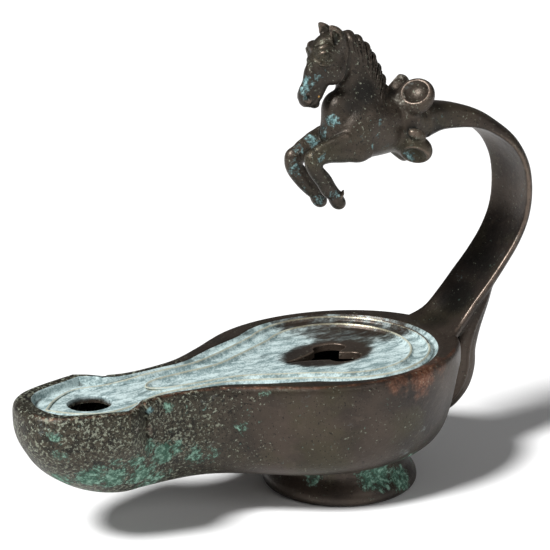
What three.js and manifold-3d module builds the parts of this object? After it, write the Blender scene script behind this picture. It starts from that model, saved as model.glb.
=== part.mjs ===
// A Roman oil lamp of cast bronze, one hollow casting: a round body with a long nozzle, a ring foot, and a ribbon
// handle that curls forward and ends in a flower calyx with the forepart of a leaping horse.
// Millimetres, +Z up. The origin is the centre of the foot, on the ground; the nozzle points along -X and the
// handle rises at +X, so the horse looks along -X over the filling hole.

import * as THREE from "three";
import { mergeVertices } from "three/addons/utils/BufferGeometryUtils.js";
import Module from "manifold-3d";

const wasm = await Module();
wasm.setup();
const { clamp, degToRad, lerp, smoothstep } = THREE.MathUtils;

// ---- Driving dimensions ----

// Vessel
const RIM_HEIGHT = 44; // crest of the rounded shoulder
const WIDEST_HEIGHT = 38.5; // where the wall stands furthest out
const WALL_OVERHANG = 0.8; // the wall's reach beyond the line of the shoulder
const BODY_CENTRE = -4; // centre of the oval body along X
const BODY_LENGTH = 42; // half of the oval, along X
const BODY_WIDTH = 33.3; // half of the oval, along Y
const BODY_SWEEP = 130; // degrees of the oval before the waist takes over
const BODY_FLOOR = 11; // underside of the hull under the body
const NOZZLE_FLOOR = 12.9; // underside of the hull under the nozzle
const BODY_FULLNESS = 6; // how square the wall's section is: 2 is round
const NOZZLE_FULLNESS = 1.9;
const WALL_LEAN = 0.12; // how far the body's wall leans in toward the foot
const KEEL_FRONT = -72; // ends of the line on which the hull's sections meet
const KEEL_BACK = -4;
const WALL = 2.7; // thickness of the casting
const CAVITY_TOP = 39.3;

// Top
const DISC_CENTRE = -1;
const OUTER_RIDGE = 28; // radius of the first moulding
const INNER_RIDGE = 22.4; // radius of the moulding around the disc
const WICK_HOLE = { x: -86, length: 6.8, width: 5.6 };

// Foot
const FOOT_RADIUS = 24.1;
const FOOT_NECK = 20.6;
const FOOT_BOSS = 6;

// Handle and calyx
const CALYX_HEIGHT = 111.4;
const PETALS = 6;
const CALYX_OVAL = 0.78; // the flower's width over its height

// Steps along and around the surfaces
const BODY_STEPS = 16;
const NECK_STEPS = 12;
const NOSE_STEPS = 10;

// ---- Solids ----

const points2 = (list) => list.map(([x, y]) => new THREE.Vector2(x, y));

// A closed geometry as a solid for joining and cutting, turned to face outward.
function solid(geometry) {
  geometry.deleteAttribute("normal");
  geometry.deleteAttribute("uv");
  const merged = mergeVertices(geometry, 1e-4);
  const at = merged.attributes.position.array;
  const corners = merged.index.array;
  const triangles = [];
  let volume = 0;
  const corner = (id) => new THREE.Vector3().fromArray(at, id * 3);
  for (let i = 0; i < corners.length; i += 3) {
    const [a, b, c] = corners.slice(i, i + 3);
    if (a === b || b === c || c === a) continue;
    triangles.push([a, b, c]);
    volume += corner(a).dot(corner(b).cross(corner(c)));
  }
  const outward = volume < 0 ? triangles.map(([a, b, c]) => [a, c, b]) : triangles;
  return new wasm.Manifold(
    new wasm.Mesh({
      numProp: 3,
      vertProperties: new Float32Array(at),
      triVerts: new Uint32Array(outward.flat()),
    }),
  );
}

// A skin over a stack of rings of equal length. Each ring mirrors about its first point, so its two halves are
// zipped together to close the ends.
function loft(rings) {
  const count = rings[0].length;
  const last = (rings.length - 1) * count;
  const index = [];
  for (let a = 0; a < last; a++) {
    const b = (a + 1) % count === 0 ? a + 1 - count : a + 1;
    index.push(a, b, b + count, a, b + count, a + count);
  }
  for (let a = 0; a < count / 2; a++) {
    const b = a + 1;
    const c = count - a - 1;
    const d = (count - a) % count;
    index.push(a, c, b, a, d, c);
    index.push(last + a, last + b, last + c, last + a, last + c, last + d);
  }
  const geometry = new THREE.BufferGeometry();
  geometry.setIndex(index);
  const flat = rings.flat().flatMap((p) => p.toArray());
  geometry.setAttribute("position", new THREE.Float32BufferAttribute(flat, 3));
  return geometry;
}

// A rounded bar swept along stations of [x, y, z, half width, half depth, bulge]. Width lies across the sweep,
// depth in its plane; a bulge bends the section into a crescent. Corners under 1 square the section off.
function sweep(stations, { steps, sides = 12, corners = 1 }) {
  const route = new THREE.CatmullRomCurve3(stations.map(([x, y, z]) => new THREE.Vector3(x, y, z)));
  const sizes = new THREE.CatmullRomCurve3(
    stations.map(([, , , wide, deep, bulge = 0]) => new THREE.Vector3(wide, deep, bulge)),
  );
  const across = new THREE.Vector3(0, 1, 0);
  const rings = [];
  for (let step = 0; step <= steps; step++) {
    const at = route.getPoint(step / steps);
    const along = route.getTangent(step / steps);
    const wide = across.clone().addScaledVector(along, -across.dot(along)).normalize();
    const deep = along.clone().cross(wide);
    const size = sizes.getPoint(step / steps);
    const ring = [];
    for (let side = 0; side < sides; side++) {
      const angle = (side / sides) * 2 * Math.PI;
      const u = Math.sign(Math.sin(angle)) * Math.abs(Math.sin(angle)) ** corners;
      const v = Math.sign(Math.cos(angle)) * Math.abs(Math.cos(angle)) ** corners;
      const bent = size.y * v + size.z * (1 - u * u);
      ring.push(at.clone().addScaledVector(wide, size.x * u).addScaledVector(deep, bent));
    }
    rings.push(ring);
  }
  return loft(rings);
}

const mirrored = (stations) => stations.map(([x, y, ...rest]) => [x, -y, ...rest]);

// ---- Vessel ----

// Half of a line in plan, from the back of the body round to the tip of the nozzle.
function planLine({ centre, length, width, waist, nose }) {
  const body = new THREE.EllipseCurve(centre, 0, length, width, 0, degToRad(BODY_SWEEP));
  const neck = new THREE.SplineCurve([body.getPoint(1), ...points2(waist)]);
  const head = new THREE.SplineCurve(points2([waist.at(-1), ...nose]));
  return [
    ...body.getPoints(BODY_STEPS),
    ...neck.getPoints(NECK_STEPS).slice(1),
    ...head.getPoints(NOSE_STEPS).slice(1),
  ];
}

// The same line moved outward in plan.
function outward(line, distance) {
  const flip = (p) => new THREE.Vector2(p.x, -p.y);
  const walk = [flip(line[1]), ...line, flip(line.at(-2))];
  return line.map((p, i) => {
    const along = walk[i + 2].clone().sub(walk[i]).normalize();
    return new THREE.Vector2(p.x + along.y * distance, p.y - along.x * distance);
  });
}

// A half line, mirrored into a ring, at the height that a number or a function of x gives.
function ring(line, height) {
  const half = line.map((p) => {
    return new THREE.Vector3(p.x, p.y, typeof height === "function" ? height(p.x) : height);
  });
  const other = half.slice(1, -1).reverse().map((p) => new THREE.Vector3(p.x, -p.y, p.z));
  return [...half, ...other];
}

const shoulderLine = planLine({
  centre: BODY_CENTRE,
  length: BODY_LENGTH,
  width: BODY_WIDTH,
  waist: [[-39.4, 20.2], [-50, 14.5], [-60, 12.2], [-68, 11.8], [-74.5, 13.6], [-78, 16.4], [-81.5, 18.5]],
  nose: [[-87, 17.1], [-93.5, 15.2], [-99.6, 12.6], [-103.6, 9], [-105.6, 4.6], [-106.2, 0]],
});

// Lower down, the shoulder's sharp corners fade into a smooth hull.
const hullLine = planLine({
  centre: BODY_CENTRE,
  length: BODY_LENGTH,
  width: BODY_WIDTH,
  waist: [[-39.4, 20.2], [-50, 14.8], [-60, 13.2], [-68, 13.6], [-75, 15], [-81, 15.8]],
  nose: [[-88, 15.6], [-94.6, 14], [-100.4, 10.8], [-104.6, 5.8], [-106.2, 0]],
});

const keelHeight = (x) => lerp(BODY_FLOOR, NOZZLE_FLOOR, smoothstep(-x, 2, 50));
const fullness = (x) => lerp(BODY_FULLNESS, NOZZLE_FULLNESS, smoothstep(-x, 0, 65));
const lean = (x) => lerp(WALL_LEAN, 0, smoothstep(-x, 0, 65));

// One level of a round-bottomed hull. Depth runs from 0 on its widest line to 1 on its keel.
function hullLevel(line, softLine, { depth, top, lift = 0 }) {
  const half = line.map((sharp, i) => {
    const p = sharp.clone().lerp(softLine[i], smoothstep(depth, 0.1, 0.55));
    const power = fullness(p.x);
    const reach = (1 - depth ** power) ** (1 / power) * (1 - lean(p.x) * depth);
    const keel = clamp(p.x, KEEL_FRONT, KEEL_BACK);
    const z = lerp(top, keelHeight(keel) + lift, depth);
    return new THREE.Vector3(lerp(keel, p.x, reach), p.y * reach, z);
  });
  const other = half.slice(1, -1).reverse().map((p) => new THREE.Vector3(p.x, -p.y, p.z));
  return [...half, ...other];
}

// Height of a moulding: one value around the body, another around the wick hole.
const height = (body, nozzle) => (x) => lerp(body, nozzle, smoothstep(-x, 62, 78));

function vessel() {
  const innerEdge = planLine({
    centre: DISC_CENTRE - 1,
    length: 32,
    width: 30.4,
    waist: [[-36, 17.6], [-48, 11.8], [-60, 10.4], [-68, 9.9], [-73.5, 11.2], [-77, 14.1], [-80.5, 16.2]],
    nose: [[-86, 14.4], [-92.6, 12.4], [-97.6, 9.8], [-100.4, 5.4], [-101.4, 0]],
  });
  const outerRidge = planLine({
    centre: DISC_CENTRE,
    length: OUTER_RIDGE,
    width: OUTER_RIDGE,
    waist: [[-32, 15], [-45, 9.7], [-56, 8.6], [-66, 8], [-73, 8.8], [-80, 10.4]],
    nose: [[-85, 10.6], [-90, 8.4], [-94.4, 4.8], [-98.4, 0]],
  });
  const innerRidge = planLine({
    centre: DISC_CENTRE,
    length: INNER_RIDGE,
    width: INNER_RIDGE,
    waist: [[-29, 10.6], [-40, 6], [-52, 4.9], [-61, 4.1]],
    nose: [[-64, 3.1], [-66, 1.6], [-66.8, 0]],
  });
  const widest = outward(shoulderLine, WALL_OVERHANG);
  const softWidest = outward(hullLine, WALL_OVERHANG);
  const depths = [0.995, 0.97, 0.91, 0.82, 0.7, 0.55, 0.4, 0.25, 0.1, 0];
  return loft([
    ...depths.map((depth) => hullLevel(widest, softWidest, { depth, top: WIDEST_HEIGHT })),
    ring(outward(shoulderLine, 0.8), RIM_HEIGHT - 2.4),
    ring(outward(shoulderLine, 0.1), RIM_HEIGHT - 0.7),
    ring(outward(shoulderLine, -1), RIM_HEIGHT),
    ring(innerEdge, RIM_HEIGHT - 0.3),
    ring(outward(innerEdge, -1), height(42.6, 41.2)),
    ring(outward(outerRidge, 0.9), height(42.6, 41.2)),
    ring(outerRidge, height(43.8, 42.3)),
    ring(outward(outerRidge, -1), height(42.4, 41.6)),
    ring(outward(innerRidge, 1.1), height(42.4, 41.8)),
    ring(innerRidge, height(43.3, 42.4)),
    ring(outward(innerRidge, -1.1), height(42.1, 41.9)),
  ]);
}

function cavity() {
  const thin = (line) => line.filter((_, i) => i % 2 === 0);
  const inner = thin(outward(hullLine, WALL_OVERHANG - WALL));
  const depths = [0.98, 0.9, 0.75, 0.5, 0.2, 0];
  const side = depths.map((depth) => {
    return hullLevel(inner, inner, { depth, top: CAVITY_TOP - 2.5, lift: WALL });
  });
  return loft([
    ...side,
    ring(outward(inner, -1.2), CAVITY_TOP - 0.7),
    ring(outward(inner, -3.4), CAVITY_TOP),
  ]);
}

// A hole through the top, from an outline in plan.
function topHole(shape) {
  const hole = new THREE.ExtrudeGeometry(shape, { depth: 14, bevelEnabled: false, curveSegments: 8 });
  return hole.translate(0, 0, CAVITY_TOP - 4);
}

// The filling hole is an ivy leaf with its long tip toward the nozzle.
function ivyLeaf() {
  const leaf = new THREE.Shape();
  leaf.moveTo(-21.3, 0);
  leaf.quadraticCurveTo(-12, 0.9, -6.5, 4.6);
  leaf.bezierCurveTo(-6.2, 7.4, -4, 8.2, -1.5, 8.2);
  leaf.bezierCurveTo(1.8, 8.2, 4.6, 6, 3.9, 3.6);
  leaf.bezierCurveTo(3.2, 1.6, 1, 1.8, -0.5, 0);
  leaf.bezierCurveTo(1, -1.8, 3.2, -1.6, 3.9, -3.6);
  leaf.bezierCurveTo(4.6, -6, 1.8, -8.2, -1.5, -8.2);
  leaf.bezierCurveTo(-4, -8.2, -6.2, -7.4, -6.5, -4.6);
  leaf.quadraticCurveTo(-12, -0.9, -21.3, 0);
  return topHole(leaf);
}

function wickHole() {
  const oval = new THREE.Shape();
  oval.absellipse(WICK_HOLE.x, 0, WICK_HOLE.length, WICK_HOLE.width, 0, 2 * Math.PI);
  return topHole(oval);
}

// A ring foot with a rolled edge, hollow beneath, around a central boss that stands level with the ring.
function foot() {
  const profile = points2([
    [0, 0],
    [FOOT_BOSS, 0],
    [FOOT_BOSS + 1.5, 2],
    [FOOT_RADIUS - 6.5, 2.4],
    [FOOT_RADIUS - 4.6, 0],
    [FOOT_RADIUS - 1.4, 0],
    [FOOT_RADIUS - 0.3, 0.7],
    [FOOT_RADIUS, 2],
    [FOOT_RADIUS - 0.4, 3.8],
    [FOOT_RADIUS - 1.7, 5.4],
    [FOOT_NECK + 0.5, 7],
    [FOOT_NECK, 8.6],
    [FOOT_NECK + 0.4, 12.6],
    [12, 12.2],
    [0, 12],
  ]);
  return new THREE.LatheGeometry(profile, 32).rotateX(Math.PI / 2);
}

// ---- Handle ----

// A round stem that flattens into a ribbon, hollow on its inner face, and spreads into the rim like a root.
function ribbon() {
  return sweep(
    [
      [28, 0, 111, 5.4, 5.4],
      [34, 0, 111.5, 4.4, 4.5],
      [40, 0, 110.9, 4.6, 3.8],
      [46.5, 0, 109, 6, 2.9, 0.6],
      [52, 0, 105.9, 7.3, 2.2, 1.2],
      [58.2, 0, 100.6, 8.8, 1.9, 1.8],
      [62.3, 0, 93.4, 9.5, 1.8, 2.1],
      [63.6, 0, 85, 9.7, 1.8, 2.2],
      [62.6, 0, 77, 9.6, 1.8, 2.4],
      [59.4, 0, 70, 9.5, 1.9, 2.4],
      [54.4, 0, 63.3, 9.5, 2, 2.4],
      [48.8, 0, 57, 9.7, 2.2, 2.5],
      [43.6, 0, 51.4, 9.7, 2.4, 2.9],
      [38.4, 0, 46.2, 10.4, 2.4, 3],
      [32.4, 0, 42.7, 12.8, 2.2, 1.4],
      [26, 0, 41, 13.4, 1.2, 0.4],
    ],
    { steps: 36, sides: 14, corners: 0.8 },
  );
}

// The ribbon's back runs on down the wall of the body as a tongue with a rounded tip.
function tongue() {
  return sweep(
    [
      [53, 0, 59.6, 7.2, 0.9, 1.4],
      [48.4, 0, 52.4, 9, 2.8, 1.6],
      [43.6, 0, 44.4, 9.8, 5, 0.8],
      [41.4, 0, 37.5, 9.9, 6],
      [41.4, 0, 31.5, 9.5, 6.2],
      [40.4, 0, 26, 8.6, 6.2],
      [38.4, 0, 21.2, 6.8, 5.4],
      [36.2, 0, 17.8, 4.4, 4.2],
      [34.2, 0, 15.6, 1.4, 2],
    ],
    { steps: 14, sides: 12, corners: 0.9 },
  );
}

// One spoon-shaped petal, hollow toward the horse, before it is turned into its place around the stem.
function petal() {
  return sweep(
    [
      [30, 0, 3.4, 2.8, 1.8],
      [27, 0, 6.8, 4.6, 1.2, -1.2],
      [24, 0, 9.8, 6, 1, -2.1],
      [22, 0, 11.8, 5.8, 0.9, -2.1],
      [20.8, 0, 13, 4, 0.8, -1.2],
      [20.3, 0, 13.5, 1.4, 0.6, -0.3],
    ],
    { steps: 6, sides: 8 },
  );
}

function calyx() {
  const ring = [];
  for (let i = 0; i < PETALS; i++) {
    const turn = ((i + 0.5) / PETALS) * 2 * Math.PI;
    ring.push(petal().rotateX(turn).scale(1, CALYX_OVAL, 1).translate(0, 0, CALYX_HEIGHT));
  }
  return ring;
}

// ---- Horse ----

function trunk() {
  return sweep(
    [
      [29, 0, 110.8, 4.6, 4.6],
      [23, 0, 110.8, 7.2, 7.8],
      [15, 0, 111.2, 8, 9.2],
      [7, 0, 111.8, 8.4, 10],
      [0, 0, 112, 7.6, 9],
      [-4, 0, 112.6, 5.4, 6.2],
      [-6.4, 0, 113.2, 2.2, 2.8],
    ],
    { steps: 12, sides: 14 },
  );
}

function neck() {
  return sweep(
    [
      [7, 0, 112, 7.2, 9],
      [6, 0, 119, 6.4, 8.2],
      [5, 0, 125, 5.2, 7.2],
      [3, 0, 130.3, 4.3, 6.2],
      [-0.2, 0, 135, 3.8, 5],
      [-3.4, 0, 137.8, 3, 3.4],
    ],
    { steps: 10, sides: 12 },
  );
}

function head() {
  return sweep(
    [
      [-1.4, 0, 138.4, 2.8, 2.6],
      [-4.8, 0, 135.8, 4.2, 5.2],
      [-6.8, 0, 132, 4.4, 5.3],
      [-8.8, 0, 128.4, 3.8, 4.6],
      [-10.4, 0, 125.2, 3, 3.6],
      [-11.6, 0, 122.8, 3, 3.8],
      [-12.1, 0, 120.6, 2.7, 3],
      [-12.2, 0, 119.2, 1.2, 1.4],
    ],
    { steps: 14, sides: 12 },
  );
}

// A foreleg bent at the knee, its hoof tucked back.
const FORELEG = [
  [5, 5.4, 108, 3.4, 5.2],
  [-2, 5.2, 106.8, 3.2, 4.4],
  [-8.6, 5, 106.2, 2.7, 3.3],
  [-13, 4.8, 104.6, 2.4, 2.9],
  [-13, 4.7, 101.6, 2.2, 2.7],
  [-9.9, 4.6, 97.8, 2.1, 2.9],
  [-7.7, 4.5, 95, 2, 2.5],
  [-6, 4.5, 93.2, 1.9, 2.2],
  [-5, 4.5, 92, 2.2, 2.4],
  [-4, 4.5, 90.8, 2.5, 2.6],
];

// The brow over each eye.
function brow(side) {
  return new THREE.SphereGeometry(1, 8, 6).scale(2.3, 1.7, 1.9).translate(-8.6, side * 2.9, 135);
}

// The far leg reaches a little further and lower.
const FAR_LEG = { x: -0.8, z: -1.3 };

function ear() {
  return sweep(
    [
      [-3.6, 2.4, 137, 1.3, 1.9],
      [-4.4, 2.8, 139.6, 1.3, 1.9],
      [-5.4, 3, 141.8, 0.8, 1.2],
      [-6.2, 3, 143.4, 0.2, 0.3],
    ],
    { steps: 4, sides: 8 },
  );
}

// Locks of the mane, set along the crest of the neck.
const MANE_LOCKS = 7;
function mane() {
  const crest = new THREE.CatmullRomCurve3([
    new THREE.Vector3(-0.8, 0, 138),
    new THREE.Vector3(4.6, 0, 134.7),
    new THREE.Vector3(8.5, 0, 129.6),
    new THREE.Vector3(11.3, 0, 124),
  ]);
  const locks = [];
  for (let i = 0; i < MANE_LOCKS; i++) {
    const at = crest.getPoint(i / (MANE_LOCKS - 1));
    const along = crest.getTangent(i / (MANE_LOCKS - 1));
    const lock = new THREE.SphereGeometry(1, 8, 6);
    lock.scale(1.5, 2.2, 2.9);
    lock.rotateY(Math.atan2(-along.z, along.x));
    locks.push(lock.translate(at.x, at.y, at.z));
  }
  return locks;
}

function horse() {
  const near = sweep(mirrored(FORELEG), { steps: 16, sides: 10 });
  const far = sweep(FORELEG, { steps: 16, sides: 10 }).translate(FAR_LEG.x, 0, FAR_LEG.z);
  const legs = [near, far];
  const ears = [ear(), ear().scale(1, -1, 1)];
  return [trunk(), neck(), head(), brow(1), brow(-1), ...legs, ...ears, ...mane()];
}

// ---- The casting ----

const joined = [vessel(), foot(), ribbon(), tongue(), ...calyx(), ...horse()]
  .map(solid)
  .reduce((whole, piece) => whole.add(piece));
const cut = [cavity(), ivyLeaf(), wickHole()].map(solid).reduce((whole, piece) => whole.subtract(piece), joined);

const result = cut.getMesh();
const casting = new THREE.BufferGeometry();
casting.setAttribute("position", new THREE.Float32BufferAttribute(result.vertProperties, 3));
casting.setIndex(Array.from(result.triVerts));
casting.computeVertexNormals();

const bronze = new THREE.MeshStandardMaterial({ color: 0x4a3f36, roughness: 0.5, metalness: 0.85 });
const lamp = new THREE.Mesh(casting, bronze);
lamp.name = "lamp";

const group = new THREE.Group();
group.add(lamp);
export default group;
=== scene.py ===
# %% [markdown]
# # A Roman oil lamp in cast bronze
# This lesson dresses one casting: a round vessel with a long nozzle, a ring foot, and a ribbon handle that
# curls forward and ends in a flower with the forepart of a leaping horse. The vessel was turned and chased
# by a maker who liked clean mouldings, so it is built from lofted lines. The handle and the horse were
# modelled in wax, so they are built as a block of digital wax: a distance field that pieces are pressed
# into and tools are drawn across.

# %% Tools and frame
import math

import bpy
import numpy as np
import openvdb as vdb
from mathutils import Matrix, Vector


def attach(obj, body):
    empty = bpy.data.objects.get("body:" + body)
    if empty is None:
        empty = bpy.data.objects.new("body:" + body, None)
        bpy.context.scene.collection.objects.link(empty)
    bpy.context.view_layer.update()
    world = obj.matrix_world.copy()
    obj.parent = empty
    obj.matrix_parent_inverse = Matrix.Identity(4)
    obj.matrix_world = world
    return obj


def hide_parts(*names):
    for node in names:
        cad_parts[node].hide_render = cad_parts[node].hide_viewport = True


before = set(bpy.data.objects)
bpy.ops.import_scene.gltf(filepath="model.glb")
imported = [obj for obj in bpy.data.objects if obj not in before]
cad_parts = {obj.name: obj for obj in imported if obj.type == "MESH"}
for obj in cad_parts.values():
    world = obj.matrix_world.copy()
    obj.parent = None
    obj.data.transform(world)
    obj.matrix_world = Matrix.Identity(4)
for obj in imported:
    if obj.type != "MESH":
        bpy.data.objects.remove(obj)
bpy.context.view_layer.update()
MM = 0.001

# %% [markdown]
# ## Lines
# Every part starts from a few measured stations. A batten bent through them gives a fair curve, which is
# what a Catmull-Rom spline does. Shape numbers are in millimetres, and turn into metres once, at the mesh.


# %% A smooth line through stations
def batten(stations, count, before=None):
    p = np.array(stations, float)
    first = 2 * p[0] - p[1] if before is None else np.array(before, float)
    p = np.vstack([first, p, 2 * p[-1] - p[-2]])
    t = np.linspace(0, len(p) - 3, count)
    i = np.minimum(t.astype(int), len(p) - 4)
    f = (t - i)[:, None]
    a, b, c, d = p[i], p[i + 1], p[i + 2], p[i + 3]
    return 0.5 * (2 * b + (c - a) * f + (2 * a - 5 * b + 4 * c - d) * f**2 + (3 * b - a - 3 * c + d) * f**3)


def smoothstep(x, low, high):
    t = np.clip((x - low) / (high - low), 0, 1)
    return t * t * (3 - 2 * t)


def lerp(a, b, t):
    return a + (b - a) * t


# %% Half lines of the vessel, from the back round to the tip of the nozzle
BODY_SWEEP = math.radians(130)
LINE_COUNTS = (76, 64, 44)


def plan_line(centre, length, width, waist, nose):
    angle = np.linspace(0, BODY_SWEEP, LINE_COUNTS[0])
    body = np.c_[centre + length * np.cos(angle), width * np.sin(angle)]
    neck = batten([body[-1], *waist], LINE_COUNTS[1], before=body[-9])[1:]
    head = batten([waist[-1], *nose], LINE_COUNTS[2])[1:]
    return np.vstack([body, neck, head])


def outward(line, distance):
    flip = np.array([1, -1])
    walk = np.vstack([line[1] * flip, line, line[-2] * flip])
    along = walk[2:] - walk[:-2]
    along /= np.linalg.norm(along, axis=1)[:, None]
    return line + distance * np.c_[along[:, 1], -along[:, 0]]


shoulder = plan_line(
    -4, 42, 33.3,
    [(-39.4, 20.2), (-50, 14.5), (-60, 12.2), (-68, 11.8), (-74.5, 13.6), (-78, 16.4), (-81.5, 18.5)],
    [(-87, 17.1), (-93.5, 15.2), (-99.6, 12.6), (-103.6, 9), (-105.6, 4.6), (-106.2, 0)],
)
soft_hull = plan_line(
    -4, 42, 33.3,
    [(-39.4, 20.2), (-50, 14.8), (-60, 13.2), (-68, 13.6), (-75, 15), (-81, 15.8)],
    [(-88, 15.6), (-94.6, 14), (-100.4, 10.8), (-104.6, 5.8), (-106.2, 0)],
)
inner_edge = plan_line(
    -2, 32, 30.4,
    [(-36, 17.6), (-48, 11.8), (-60, 10.4), (-68, 9.9), (-73.5, 11.2), (-77, 14.1), (-80.5, 16.2)],
    [(-86, 14.4), (-92.6, 12.4), (-97.6, 9.8), (-100.4, 5.4), (-101.4, 0)],
)
outer_ridge = plan_line(
    -1, 28, 28,
    [(-32, 15), (-45, 9.7), (-56, 8.6), (-66, 8), (-73, 8.8), (-80, 10.4)],
    [(-85, 10.6), (-90, 8.4), (-94.4, 4.8), (-98.4, 0)],
)
inner_ridge = plan_line(
    -1, 22.4, 22.4,
    [(-29, 10.6), (-40, 6), (-52, 4.9), (-61, 4.1)],
    [(-64, 3.1), (-66, 1.6), (-66.8, 0)],
)
print("points in a half line", len(shoulder), "nozzle tip at x", round(float(shoulder[-1, 0]), 1))

# %% [markdown]
# ## Mesh helpers
# A loft is a stack of rings of the same length, joined by quads. Each ring mirrors about its first point,
# so its two halves zip together to close an end, as a boat's planks meet on the keel.


# %% Rings, lofts and sweeps
def ring(half, z):
    z = np.broadcast_to(z, len(half))
    near = np.c_[half, z]
    far = near[-2:0:-1] * [1, -1, 1]
    return np.vstack([near, far])


def loft(rings):
    rings = np.array(rings)
    rows, count = rings.shape[:2]
    a = np.arange((rows - 1) * count)
    b = np.where((a + 1) % count == 0, a + 1 - count, a + 1)
    quads = np.c_[a, b, b + count, a + count]
    i = np.arange(count // 2)
    zip_end = np.c_[i, (count - i) % count, count - i - 1, i + 1]
    last = (rows - 1) * count
    caps = np.vstack([zip_end, zip_end[:, ::-1] + last])
    flat = np.vstack([quads, caps])
    faces = [tuple(dict.fromkeys(f)) for f in flat.tolist()]
    return rings.reshape(-1, 3), [f for f in faces if len(f) > 2]


def sweep(stations, steps, sides=24, corners=1.0):
    """A bar along [x, y, z, half width, half depth, bulge]; a bulge bends its section into a crescent."""
    full = np.array([list(s) + [0] * (6 - len(s)) for s in stations], float)
    line = batten(full, steps + 1)
    at, size = line[:, :3], line[:, 3:]
    along = np.gradient(at, axis=0)
    along /= np.linalg.norm(along, axis=1)[:, None]
    wide = np.array([0, 1, 0]) - along * along[:, 1:2]
    wide /= np.linalg.norm(wide, axis=1)[:, None]
    deep = np.cross(along, wide)
    angle = np.arange(sides) / sides * 2 * np.pi
    u = np.sign(np.sin(angle)) * np.abs(np.sin(angle)) ** corners
    v = np.sign(np.cos(angle)) * np.abs(np.cos(angle)) ** corners
    bent = size[:, 1:2] * v + size[:, 2:3] * (1 - u * u)
    return at[:, None] + wide[:, None] * (size[:, :1] * u)[..., None] + deep[:, None] * bent[..., None]


def signed_volume(points, faces):
    total = 0.0
    for f in faces:
        for k in range(1, len(f) - 1):
            a, b, c = points[f[0]], points[f[k]], points[f[k + 1]]
            total += a @ np.cross(b, c)
    return total / 6


def to_object(name, points, faces):
    if signed_volume(points, faces) < 0:
        faces = [f[::-1] for f in faces]
    mesh = bpy.data.meshes.new(name)
    mesh.from_pydata((np.array(points) * MM).tolist(), [], faces)
    mesh.validate()
    thing = bpy.data.objects.new(name, mesh)
    bpy.context.collection.objects.link(thing)
    return thing


# %% [markdown]
# ## The hull
# Below its widest line the wall bends in to a keel. Its section is a superellipse: nearly square under the
# body, almost round under the nozzle. The crisp corners of the shoulder melt into a soft line lower down.

# %% Outside of the hull
RIM_HEIGHT = 44.0
WIDEST_HEIGHT = 38.5
OVERHANG = 0.8
WALL = 2.7


def hull_level(sharp, soft, turn, top, lift=0.0):
    x = sharp[:, 0]
    power = lerp(6, 1.9, smoothstep(-x, 0, 65))
    depth = np.sin(turn) ** (2 / power)
    p = lerp(sharp, soft, smoothstep(depth, 0.1, 0.55)[:, None])
    reach = np.cos(turn) ** (2 / power) * (1 - lerp(0.12, 0, smoothstep(-x, 0, 65)) * depth)
    keel = np.clip(p[:, 0], -72, -4)
    keel_z = lerp(11, 12.9, smoothstep(-keel, 2, 50)) + lift
    half = np.c_[lerp(keel, p[:, 0], reach), p[:, 1] * reach]
    return ring(half, lerp(top, keel_z, depth))


# A chisel cut parts the rolled corner of the nozzle from the long neck.
CORNER_CUT = {"x": -74.2, "width": 0.7, "depth": 1.4}
notch = CORNER_CUT["depth"] * np.exp(-(((shoulder[:, 0] - CORNER_CUT["x"]) / CORNER_CUT["width"]) ** 2))
notch[shoulder[:, 1] > 15] = 0
wall_line = outward(shoulder, OVERHANG)
wall_line[:, 1] -= notch
soft_wall = outward(soft_hull, OVERHANG)
turns = np.radians(np.linspace(89.4, 0, 44))
hull = [hull_level(wall_line, soft_wall, turn, WIDEST_HEIGHT) for turn in turns]
print("hull levels", len(hull))

# %% [markdown]
# ## The mouldings
# Seen in section, the top is a rolled shoulder, a valley, a sharp ridge, a second valley and a second ridge
# around a dished disc. Around the wick hole the same lines sit lower, so that spilled oil runs back.


# %% Section of the top, from the wall to the disc
def station(line, body, nozzle=None):
    x = line[:, 0]
    z = lerp(body, body if nozzle is None else nozzle, smoothstep(-x, 62, 78))
    return ring(line, z)


cut_line = shoulder.copy()
cut_line[:, 1] -= notch * 0.8
lip_inside = outward(cut_line, -1.2)
keys = [
    station(wall_line, 38.5),
    station(wall_line, 41.0),
    station(outward(cut_line, 0.55), 42.6),
    station(outward(cut_line, 0.1), 43.4),
    station(outward(cut_line, -0.5), 43.9),
    station(lip_inside, RIM_HEIGHT),
    station(lerp(lip_inside, outward(inner_edge, 0.4), 0.6), 43.95),
    station(outward(inner_edge, 0.3), 43.8),
    station(outward(inner_edge, -0.2), 43.4),
    station(outward(inner_edge, -0.7), 42.8, 41.7),
    station(outward(inner_edge, -1.2), 42.5, 41.15),
    station(lerp(outward(inner_edge, -1.2), outward(outer_ridge, 1.1), 0.5), 42.45, 41.0),
    station(outward(outer_ridge, 1.0), 42.65, 41.2),
    station(outward(outer_ridge, 0.45), 43.3, 41.9),
    station(outer_ridge, 43.8, 42.3),
    station(outward(outer_ridge, -0.45), 43.3, 42.05),
    station(outward(outer_ridge, -1.0), 42.4, 41.6),
    station(lerp(outward(outer_ridge, -1.0), outward(inner_ridge, 1.0), 0.5), 42.2, 41.5),
    station(outward(inner_ridge, 1.0), 42.3, 41.8),
    station(outward(inner_ridge, 0.4), 42.95, 42.15),
    station(inner_ridge, 43.3, 42.4),
    station(outward(inner_ridge, -0.45), 42.8, 42.2),
    station(outward(inner_ridge, -1.1), 42.1, 41.95),
]
SUBSTEPS = 3
key_array = np.array(keys)
flat_keys = key_array.reshape(len(keys), -1)
top_rings = batten(flat_keys, (len(keys) - 1) * SUBSTEPS + 1).reshape(-1, *key_array.shape[1:])
print("rings across the mouldings", len(top_rings))

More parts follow.
